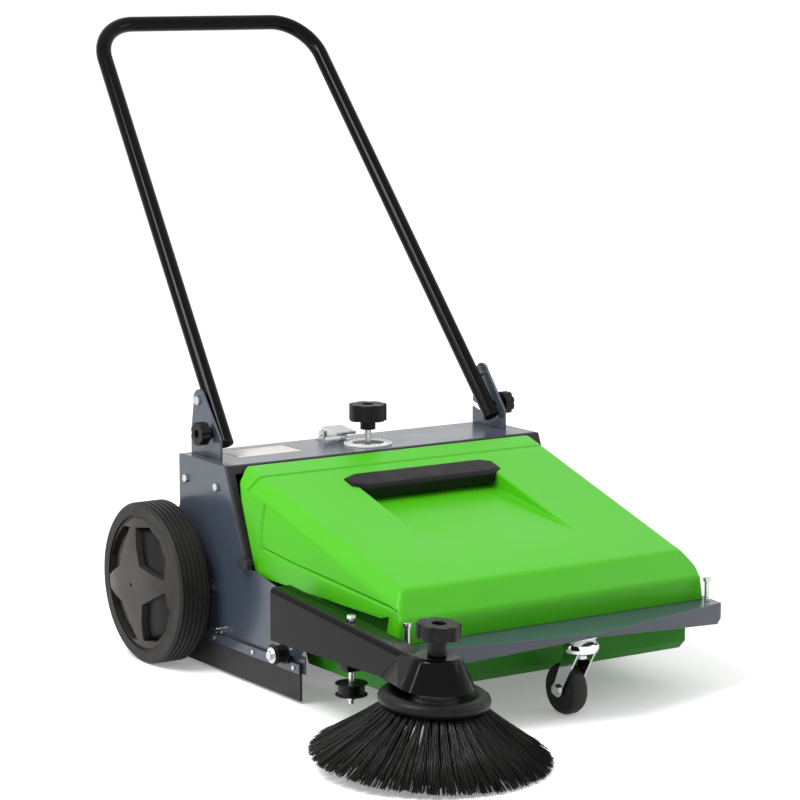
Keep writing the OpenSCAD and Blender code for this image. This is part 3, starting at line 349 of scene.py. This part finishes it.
SLOPE = math.radians(16.1)
REAR_TOP = Vector((0, -146, 321))
NOSE = Vector((0, -555, 203))
LIP_Y = -581
LIP_TOP = 164
LIP_LOW = 130.5
LIP_BACK = -553
FLANGE_Z = 166
NECK = (-202, 178)
TOP_HALF = 250
REAR_WIDER = 12
FLANGE_HALF = 283
CHAMFER_OUT, CHAMFER_DOWN = 18, 19
FLANK_OUT, FLANK_DOWN = 9, 51
LID_ROUND = 6
LID_WALL = 4
RIM_WIDE = 30
CREASE_Y, CREASE_LOW = -188, 286
GROOVE_Y, GROOVE_LOW = -229, 207
FOOT_GROOVE = Vector((0, -240, 209))
FOOT_NORMAL = Vector((0, -32, 332)).normalized()
PRESS_DEEP, PRESS_HALF = 3.4, 3.2
ACROSS = Vector((1, 0, 0))
ALONG = Vector((0, -math.cos(SLOPE), -math.sin(SLOPE)))
ABOVE = Vector((0, -math.sin(SLOPE), math.cos(SLOPE)))


def cut_off(bm, point, outward):
    """Trims what lies beyond a plane and closes the cut."""
    geom = bm.verts[:] + bm.edges[:] + bm.faces[:]
    made = bmesh.ops.bisect_plane(bm, geom=geom, plane_co=point, plane_no=outward, clear_outer=True)
    rim = [e for e in made["geom_cut"] if isinstance(e, bmesh.types.BMEdge)]
    bmesh.ops.contextual_create(bm, geom=rim)


def score(bm, point, normal, only=None):
    """Cuts an edge loop along a plane, over the faces given or all of them."""
    faces = list(only) if only else bm.faces[:]
    geom = once(v for f in faces for v in f.verts) + once(e for f in faces for e in f.edges) + faces
    made = bmesh.ops.bisect_plane(bm, geom=geom, plane_co=point, plane_no=normal)
    return [e for e in made["geom_cut"] if isinstance(e, bmesh.types.BMEdge)]


def press_line(bm, point, normal, faces, keep):
    """Presses a shallow groove into a skin: a middle loop, sunk where keep() holds, between two level ones."""
    lines = []
    for shift in (-PRESS_HALF, 0, PRESS_HALF):
        faces = [f for f in faces if f.is_valid]
        lines.append(score(bm, point + normal * shift, normal, faces))
        faces = once([f for f in faces if f.is_valid] + [f for e in lines[-1] for f in e.link_faces])
    bm.normal_update()
    for v in once(v for e in lines[1] for v in e.verts if keep(v.co)):
        v.co -= v.normal * PRESS_DEEP
    return faces


def on_top(y):
    """Point on the middle of the sloping top."""
    return NOSE + ALONG * ((NOSE.y - y) / math.cos(SLOPE))


def hopper_cover():
    """The lid's outer skin, cut from its side outline, pressed with grooves and a hand well, and given a wall."""
    bm = bmesh.new()
    outline = [(REAR_TOP.y, REAR_TOP.z), (NOSE.y, NOSE.z), (LIP_Y, LIP_TOP), (LIP_Y, LIP_LOW), (LIP_BACK, LIP_LOW),
               (LIP_BACK, FLANGE_Z), (NECK[0], FLANGE_Z), NECK]
    prism(bm, [(-FLANGE_HALF, y, z) for y, z in outline], (2 * FLANGE_HALF, 0, 0))
    bmesh.ops.recalc_face_normals(bm, faces=bm.faces)
    widening = REAR_WIDER / (NOSE - REAR_TOP).length
    for side in (-1, 1):
        outward = Vector((side, 0, 0)) + widening * ALONG
        shoulder = NOSE + Vector((side * TOP_HALF, 0, 0))
        cut_off(bm, shoulder, CHAMFER_DOWN * outward + CHAMFER_OUT * ABOVE)
        elbow = shoulder + Vector((side * CHAMFER_OUT, 0, 0)) - CHAMFER_DOWN * ABOVE
        cut_off(bm, elbow, FLANK_DOWN * outward + FLANK_OUT * ABOVE)
    bmesh.ops.recalc_face_normals(bm, faces=bm.faces)
    open_faces = [f for f in bm.faces if f.normal.z < -0.9
                  or (f.normal.y > 0.9 and f.calc_center_median().y < LIP_BACK + 1)]
    bmesh.ops.delete(bm, geom=open_faces, context="FACES")
    round_edges(bm, LID_ROUND, segments=3, angle=20)
    rear = max(bm.faces, key=lambda f: f.normal.y * f.calc_area())
    bmesh.ops.inset_individual(bm, faces=[rear], thickness=RIM_WIDE)
    bmesh.ops.delete(bm, geom=[rear], context="FACES")
    press_line(bm, on_top(CREASE_Y), ALONG, bm.faces[:], lambda co: co.z > CREASE_LOW)
    for side in (-1, 1):
        flank = [f for f in bm.faces if f.normal.x * side > 0.9]
        flank = press_line(bm, Vector((0, GROOVE_Y, 0)), Vector((0, 1, 0)), flank, lambda co: co.z > GROOVE_LOW)
        flank = [f for f in flank if f.normal.x * side > 0.8]
        press_line(bm, FOOT_GROOVE, FOOT_NORMAL, flank, lambda co: co.y < GROOVE_Y + 2)
    hand_well(bm)
    lid = settle(bm, "hopper_lid", "hopper", green_poly, ("hopper_cover",))
    wall = lid.modifiers.new("wall", "SOLIDIFY")
    wall.thickness = LID_WALL * MM
    wall.offset = -1
    flat_shading(lid)


WELL_HALF = 124
WELL_BACK, WELL_FOOT, WELL_FRONT = -228, -272, -458
WELL_DEEP = 24
WELL_ROUND = 4


def hand_well(bm):
    """Sinks a ramp into the top: deep under the grip, and running out towards the front."""
    bm.normal_update()

    def level(face):
        """Whether a face lies in the sloping top."""
        return face.normal.dot(ABOVE) > 0.99

    top = [f for f in bm.faces if level(f)]
    lines = [(on_top(y), ALONG) for y in (WELL_BACK, WELL_FOOT, WELL_FRONT)]
    lines += [(Vector((side * WELL_HALF, 0, 0)), ACROSS) for side in (-1, 1)]
    for point, normal in lines:
        cut = score(bm, point, normal, top)
        top = once([f for f in top if f.is_valid] + [f for e in cut for f in e.link_faces if level(f)])
    floor = [f for f in top if abs(f.calc_center_median().x) < WELL_HALF
             and WELL_FRONT < f.calc_center_median().y < WELL_BACK]
    drawn = bmesh.ops.extrude_face_region(bm, geom=floor)["geom"]
    bmesh.ops.delete(bm, geom=floor, context="FACES")
    sunk = [v for v in drawn if isinstance(v, bmesh.types.BMVert) and v.co.y > WELL_FRONT + 20]
    bmesh.ops.translate(bm, verts=sunk, vec=-ABOVE * WELL_DEEP)
    bmesh.ops.remove_doubles(bm, verts=bm.verts, dist=0.01)
    rim = [e for e in bm.edges if len(e.link_faces) == 2 and e.calc_face_angle(0) > math.radians(12)
           and all(abs(v.co.x) < WELL_HALF + 1 and WELL_FRONT - 5 < v.co.y < WELL_BACK + 20 for v in e.verts)]
    bmesh.ops.bevel(bm, geom=rim, offset=WELL_ROUND, segments=3, profile=0.5, affect="EDGES", clamp_overlap=True,
                    material=-1)


hopper_cover()


GRIP_Y = -238
GRIP_HALF, GRIP_DEEP = 137, 24
GRIP_LOW, GRIP_HIGH = -16, 5
GRIP_CUT, GRIP_CUT_BACK, GRIP_CUT_FRONT = 22, 10, 12
GRIP_ROUND = 7


def hopper_grip():
    """Grip bar: a long plate with cut corners, whose top edges slope away."""
    bm = bmesh.new()
    end = [(GRIP_HALF - GRIP_CUT, -GRIP_DEEP), (GRIP_HALF, GRIP_CUT_BACK - GRIP_DEEP),
           (GRIP_HALF, GRIP_DEEP - GRIP_CUT_FRONT), (GRIP_HALF - GRIP_CUT, GRIP_DEEP)]
    outline = end + [(-x, y) for x, y in reversed(end)]
    middle_top = on_top(GRIP_Y)
    prism(bm, [middle_top + ACROSS * x + ALONG * y + ABOVE * GRIP_LOW for x, y in outline],
          ABOVE * (GRIP_HIGH - GRIP_LOW))
    bmesh.ops.recalc_face_normals(bm, faces=bm.faces)
    rim = [e for e in bm.edges if all((v.co - middle_top).dot(ABOVE) > 0 for v in e.verts)]
    bmesh.ops.bevel(bm, geom=rim, offset=GRIP_ROUND, segments=3, profile=0.5, affect="EDGES", clamp_overlap=True,
                    material=-1)
    flat_shading(settle(bm, "grip_bar", "hopper", black_plastic, ("hopper_grip",)))


hopper_grip()


# Wheel discs keep their CAD shape, with rounded edges, and have a dark disc behind their windows that paints the
# shade inside them

# Radius, and distance out from the hub's inner face
SHADE_DISC_PROFILE = ((28, 58), (28, 60), (60, 57), (85, 50), (96, 40), (96, 38), (85, 48), (60, 55), (28, 58))


def wheel_shade_disc(side, node):
    """Domed disc of dark plastic inside a wheel, a little way behind its windows: painted shade for them."""
    bm = bmesh.new()
    low, high = span(node)
    face = low.x if side > 0 else high.x
    centre = Vector((face, (low.y + high.y) / 2, (low.z + high.z) / 2))
    lathe(bm, [centre + Vector((side * x, r, 0)) for r, x in SHADE_DISC_PROFILE], centre, (1, 0, 0))
    # A dark disc of black plastic, put behind the windows as painted shade
    settle(bm, node + "_cover", body_of(node), black_plastic)


for side, node in ((-1, "wheel_hub_left"), (1, "wheel_hub_right")):
    soften(node, hub_plastic, 1.0)
    wheel_shade_disc(side, node)


# Side brush: its axis leans forward and inward about the middle of its ring

RING_MID = Vector((-314, -729, 92.5))
LEAN_IN = math.radians(1.5)
LEAN_FORE = math.radians(3.5)
BRUSH_LEAN = (Matrix.Translation(RING_MID) @ Matrix.Rotation(LEAN_IN, 4, "Y") @ Matrix.Rotation(LEAN_FORE, 4, "X")
              @ Matrix.Translation((0, 0, -RING_MID.z)))
BRUSH_FRAME = MACHINE @ BRUSH_LEAN

ARM_OUT, ARM_IN = -342, -302
ARM_BACK = -350
ARM_EDGE = 8
ARM_EDGE_STEPS = 8
ARM_WALL = 2.5
# The slanted section where the arm meets the dome
SECTION_LOW, SECTION_TOP = 108.7, 152
SECTION_LOW_Y, SECTION_TOP_Y = -636, -692
# The arm's rear end stands higher, and its lower edge hangs deeper
REAR_RISE, REAR_DEEPER = 28, 34.7
DOME_FOOT_R, DOME_FOOT_Z = 54, 112
DOME_CROWN_R, DOME_CROWN_Z = 28, 146
DOME_EDGE_TURN = 62
DOME_EDGE_STEPS = 5


def side_arm():
    """Pressed arm: its slanted end section and the dome in one hull, drawn back to the pivot, open below."""
    bm = bmesh.new()
    section = [(ARM_OUT, SECTION_LOW), (ARM_IN, SECTION_LOW)]
    for i in range(ARM_EDGE_STEPS + 1):
        turn = math.radians(90 * i / ARM_EDGE_STEPS)
        across, up = ARM_EDGE * (1 - math.cos(turn)), SECTION_TOP - ARM_EDGE * (1 - math.sin(turn))
        section += [(ARM_OUT + across, up), (ARM_IN - across, up)]
    for x, z in section:
        share = (z - SECTION_LOW) / (SECTION_TOP - SECTION_LOW)
        bm.verts.new((x, SECTION_LOW_Y + (SECTION_TOP_Y - SECTION_LOW_Y) * share, z))
    rings = [(DOME_FOOT_R, DOME_FOOT_Z)]
    for i in range(DOME_EDGE_STEPS + 1):
        turn = math.radians(DOME_EDGE_TURN * i / DOME_EDGE_STEPS)
        rings.append((DOME_CROWN_R + ARM_EDGE * math.sin(turn), DOME_CROWN_Z + ARM_EDGE * math.cos(turn)))
    for radius, z in rings:
        bmesh.ops.create_circle(bm, cap_ends=False, radius=radius, segments=64,
                                matrix=BRUSH_LEAN @ Matrix.Translation((0, 0, z)))
    made = bmesh.ops.convex_hull(bm, input=bm.verts[:])
    inside = once(v for v in made["geom_interior"] + made["geom_unused"] if isinstance(v, bmesh.types.BMVert))
    bmesh.ops.delete(bm, geom=inside, context="VERTS")
    bmesh.ops.delete(bm, geom=[e for e in bm.edges if not e.link_faces], context="EDGES")
    bmesh.ops.dissolve_limit(bm, angle_limit=math.radians(0.5), verts=bm.verts, edges=bm.edges)
    bmesh.ops.recalc_face_normals(bm, faces=bm.faces)
    rear = max(bm.faces, key=lambda f: f.normal.y)
    drawn = bmesh.ops.extrude_face_region(bm, geom=[rear])["geom"]
    bmesh.ops.delete(bm, geom=[rear], context="FACES")
    back = [v for v in drawn if isinstance(v, bmesh.types.BMVert)]
    bmesh.ops.scale(bm, verts=back, vec=(1, 0, 1))
    bmesh.ops.translate(bm, verts=back, vec=(0, ARM_BACK, REAR_RISE))
    lower_edge = [v for v in back if v.co.z < SECTION_LOW + REAR_RISE + 1]
    bmesh.ops.translate(bm, verts=lower_edge, vec=(0, 0, -REAR_DEEPER))
    bm.normal_update()
    below = [f for f in bm.faces if f.normal.z < -0.8 or f.normal.y > 0.95]
    bmesh.ops.delete(bm, geom=below, context="FACES")
    arm = settle(bm, "side_brush_arm", "arm", gloss_black, ("side_arm",), 16)
    wall = arm.modifiers.new("wall", "SOLIDIFY")
    wall.thickness = ARM_WALL * MM
    wall.offset = -1
    flat_shading(arm)


side_arm()


# Brushes: tufts of filaments, a few kinds of each, copied round

chance = random.Random(7)
ROOT_TONE, MIDDLE_TONE = 0.4, 0.7


def filament(bm, path, thick, shade):
    """One three-sided filament along a path, paler towards its tip."""
    tone = bm.verts.layers.float["strand"]
    ring = bmesh.ops.create_circle(bm, cap_ends=False, radius=thick, segments=3)["verts"]
    bmesh.ops.translate(bm, verts=ring, vec=path[0])
    edges = once(e for v in ring for e in v.link_edges)
    for v in ring:
        v[tone] = shade * ROOT_TONE
    for near, far in zip(path, path[1:]):
        drawn = bmesh.ops.extrude_edge_only(bm, edges=edges)["geom"]
        verts = [v for v in drawn if isinstance(v, bmesh.types.BMVert)]
        edges = [e for e in drawn if isinstance(e, bmesh.types.BMEdge)]
        bmesh.ops.translate(bm, verts=verts, vec=far - near)
        for v in verts:
            v[tone] = shade * (1.0 if far is path[-1] else MIDDLE_TONE)
    bmesh.ops.contextual_create(bm, geom=edges)


def tuft(name, count, path, thick):
    """Mesh of one tuft; path() gives a filament's points."""
    bm = bmesh.new()
    bm.verts.layers.float.new("strand")
    for _ in range(count):
        filament(bm, path(), thick, chance.random())
    mesh = bpy.data.meshes.new(name)
    bm.to_mesh(mesh)
    bm.free()
    return mesh


def plant(bm, kind, place):
    """Adds a copy of a tuft at a place."""
    copy = kind.copy()
    copy.transform(place)
    bm.from_mesh(copy)
    bpy.data.meshes.remove(copy)


# Radius and height of the collar's turned section
COLLAR_PROFILE = ((12, 99), (54, 99), (58, 103), (64, 104.5), (70, 103.5), (75, 100), (77, 95), (76, 89),
                  (72, 85.5), (66, 84), (40, 84), (12, 85))
SIDE_STRAND_R = 0.85
SIDE_ROOT_Z, SIDE_TIP_Z = 84, 12.2
SIDE_FAN = 6.5
OUTER_ROOT_R, OUTER_TIP_R, OUTER_TUFTS, OUTER_STRANDS = 67, 166, 44, 56
INNER_ROOT_R, INNER_TIP_R, INNER_TUFTS, INNER_STRANDS = 57, 136, 36, 44


def side_brush():
    """Side brush: a fat ring with an outer row of long tufts and an inner row of shorter ones."""
    bm = bmesh.new()
    lathe(bm, [Vector((r, 0, z)) for r, z in COLLAR_PROFILE], (0, 0, 0), (0, 0, 1), 72)
    settle(bm, "side_brush_collar", "side_brush", black_plastic, ("side_brush_ring",), 60,
           BRUSH_FRAME)

    def strand(root_r, tip_r):
        """Points of one filament: root, a sagging middle and a ragged tip."""
        root = Vector((root_r + chance.uniform(-4, 4), chance.uniform(-3.5, 3.5), SIDE_ROOT_Z))
        tip = Vector((tip_r - abs(chance.gauss(0, 7)), chance.gauss(0, SIDE_FAN),
                      SIDE_TIP_Z + abs(chance.gauss(0, 3.5))))
        bow = root.lerp(tip, 0.5) + Vector((0, chance.uniform(-1, 1), chance.uniform(-5, 0)))
        return root, bow, tip

    outer = [tuft(f"outer_tuft_{k}", OUTER_STRANDS, lambda: strand(OUTER_ROOT_R, OUTER_TIP_R), SIDE_STRAND_R)
             for k in range(4)]
    inner = [tuft(f"inner_tuft_{k}", INNER_STRANDS, lambda: strand(INNER_ROOT_R, INNER_TIP_R), SIDE_STRAND_R)
             for k in range(3)]
    bm = bmesh.new()
    for kinds, count in ((outer, OUTER_TUFTS), (inner, INNER_TUFTS)):
        for i in range(count):
            turn = Matrix.Rotation(2 * math.pi * i / count, 4, "Z")
            plant(bm, kinds[i % len(kinds)], turn)
    settle(bm, "side_brush_tufts", "side_brush", bristle, ("side_brush_bristles",), 150, BRUSH_FRAME)


side_brush()


CORE = Vector((0, -79.5, 125))
CORE_R = 38
DRUM_HALF, DRUM_REACH = 256, 121.5
DRUM_ROWS, ROW_TUFTS = 16, 38
DRUM_STRANDS, DRUM_STRAND_R = 9, 1.0
ROW_TWIST = 0.6


def main_brush():
    """Main brush: rows of tufts along the core, each row turned a little along its length."""

    def strand():
        """Root and ragged tip of one filament."""
        root = Vector((chance.uniform(-3, 3), chance.uniform(-3, 3), CORE_R))
        tip = Vector((chance.gauss(0, 4.5), chance.gauss(0, 9), DRUM_REACH - abs(chance.gauss(0, 2))))
        return root, tip

    kinds = [tuft(f"drum_tuft_{k}", DRUM_STRANDS, strand, DRUM_STRAND_R) for k in range(4)]
    bm = bmesh.new()
    for row in range(DRUM_ROWS):
        for k in range(ROW_TUFTS):
            x = DRUM_HALF * (2 * (k + 0.5) / ROW_TUFTS - 1)
            turn = Matrix.Rotation(2 * math.pi * (row + ROW_TWIST * k / ROW_TUFTS) / DRUM_ROWS, 4, "X")
            plant(bm, kinds[(row + k) % len(kinds)], Matrix.Translation(CORE + Vector((x, 0, 0))) @ turn)
    settle(bm, "main_brush_tufts", "main_brush", bristle, ("main_brush_bristles",), 150)


main_brush()


# Printed and small pieces of the housing

def plaque(name, body, material, low, high, rounding):
    """A small block with rounded edges."""
    bm = bmesh.new()
    size = Vector(high) - Vector(low)
    prism(bm, [Vector(low) + Vector((x * size.x, y * size.y, 0)) for x, y in ((0, 0), (1, 0), (1, 1), (0, 1))],
          (0, 0, size.z))
    bmesh.ops.recalc_face_normals(bm, faces=bm.faces)
    round_edges(bm, rounding)
    settle(bm, name, body, material)


plaque("blank_label", "chassis", label_film, (-232, -79, 320), (-120, -18, 320.3), 0.1)
plaque("idler_block", "arm", black_plastic, (-337, -549, 94), (-307, -521, 106), 2)
plaque("hopper_stop", "chassis", black_rubber, (-301, -214, 176), (-289.5, -186, 190), 2)


DIAL = Vector((0, -82, 323))
TICKS = 24
TICK_R, TICK_HALF, TICK_T = 36, 0.6, 0.2
LONG_TICK, SHORT_TICK = 6, 3.5


def dial_marks():
    """Ticks round the dial, every third one longer."""
    bm = bmesh.new()
    for i in range(TICKS):
        turn = Matrix.Translation(DIAL) @ Matrix.Rotation(2 * math.pi * i / TICKS, 4, "Z")
        inner = TICK_R - (LONG_TICK if i % 3 == 0 else SHORT_TICK)
        outline = ((inner, -TICK_HALF), (TICK_R, -TICK_HALF), (TICK_R, TICK_HALF), (inner, TICK_HALF))
        prism(bm, [turn @ Vector((x, y, -TICK_T / 2)) for x, y in outline], (0, 0, TICK_T))
    settle(bm, "dial_marks", "chassis", dial_ink)


dial_marks()


# Floor, light and camera

FLOOR_HALF = 60
FLOOR_BOUNCE = [0.5, 0.5, 0.5, 1]
WHITE = [1, 1, 1, 1]
# Makes up for the light that falls off towards the far floor
FLOOR_GLOW = 0.25
SKY_LOW, SKY_HIGH = 0.3, 1.0
LAMP_AIM = Vector((0, 0, 0.3))
# Name, place in metres, width, height and watts
LAMPS = (("key_softbox", (-1.9, -0.3, 2.8), 1.1, 1.1, 60),
         ("fill_softbox", (2.4, -1.6, 1.6), 1.2, 1.2, 10),
         ("strip_softbox", (-2.6, 0.4, 1.2), 0.1, 2.0, 14))


def background_rays(tree):
    """1 for the rays that see the white background: the camera's, and those that gloss and glass send on."""
    rays = add(tree, "LightPath", {}, {})
    seen = add(tree, "Math", {"operation": "MAXIMUM"}, {0: (rays, "Is Camera Ray"), 1: (rays, "Is Glossy Ray")})
    return add(tree, "Math", {"operation": "MAXIMUM"}, {0: (seen, 0), 1: (rays, "Is Transmission Ray")})


def studio():
    """White floor and background, under soft light."""
    bm = bmesh.new()
    bmesh.ops.create_grid(bm, x_segments=1, y_segments=1, size=FLOOR_HALF)
    mesh = bpy.data.meshes.new("studio_floor")
    bm.to_mesh(mesh)
    bm.free()
    floor = bpy.data.objects.new("studio_floor", mesh)
    bpy.context.scene.collection.objects.link(floor)
    paint = bpy.data.materials.new("white_studio_floor")
    paint.use_nodes = True
    tree = paint.node_tree
    shader = tree.nodes["Principled BSDF"]
    shader.inputs["Roughness"].default_value = 0.7
    seen = background_rays(tree)
    shade = add(tree, "Mix", {"data_type": "RGBA"}, {0: (seen, 0), 6: FLOOR_BOUNCE, 7: WHITE})
    tree.links.new(shade.outputs[2], shader.inputs["Base Color"])
    shader.inputs["Emission Color"].default_value = WHITE
    glow = add(tree, "Math", {"operation": "MULTIPLY"}, {0: (seen, 0), 1: FLOOR_GLOW})
    tree.links.new(glow.outputs[0], shader.inputs["Emission Strength"])
    mesh.materials.append(paint)

    world = bpy.data.worlds.new("soft_studio")
    bpy.context.scene.world = world
    world.use_nodes = True
    tree = world.node_tree
    back = tree.nodes["Background"]
    coords = add(tree, "TexCoord", {}, {})
    way = add(tree, "SeparateXYZ", {}, {0: (coords, "Generated")})
    sky = add(tree, "MapRange", {}, {0: (way, "Z"), 1: 0.0, 2: 1.0, 3: SKY_LOW, 4: SKY_HIGH})
    level = add(tree, "Mix", {"data_type": "FLOAT"}, {0: (background_rays(tree), 0), 2: (sky, 0), 3: 1.0})
    back.inputs["Color"].default_value = WHITE
    tree.links.new(level.outputs[0], back.inputs["Strength"])

    for name, place, wide, high, power in LAMPS:
        lamp = bpy.data.lights.new(name, "AREA")
        lamp.shape = "RECTANGLE"
        lamp.size = wide
        lamp.size_y = high
        lamp.energy = power
        holder = bpy.data.objects.new(name, lamp)
        holder.location = place
        holder.rotation_euler = (LAMP_AIM - Vector(place)).to_track_quat("-Z", "Y").to_euler()
        bpy.context.scene.collection.objects.link(holder)


studio()

CAMERA_AZIMUTH = math.radians(-33.6)
CAMERA_HEIGHT = math.radians(8.7)
CAMERA_REACH = 4684.6
CAMERA_AIM = Vector((112.8, -3.4, 370.4))
SENSOR = 36
PHOTO_SIDE = 800
FOCAL_PIXELS = 2902.1


def camera():
    """Camera at the photograph's angle."""
    lens = bpy.data.cameras.new("photo_camera")
    lens.sensor_width = SENSOR
    lens.lens = FOCAL_PIXELS * SENSOR / PHOTO_SIDE
    lens.clip_end = 200
    holder = bpy.data.objects.new("photo_camera", lens)
    back = Vector((math.sin(CAMERA_AZIMUTH) * math.cos(CAMERA_HEIGHT),
                   -math.cos(CAMERA_AZIMUTH) * math.cos(CAMERA_HEIGHT), math.sin(CAMERA_HEIGHT)))
    holder.location = MACHINE @ (CAMERA_AIM + back * CAMERA_REACH)
    holder.rotation_euler = back.to_track_quat("Z", "Y").to_euler()
    bpy.context.scene.collection.objects.link(holder)
    bpy.context.scene.camera = holder


camera()
bpy.context.scene.view_settings.view_transform = "Standard"
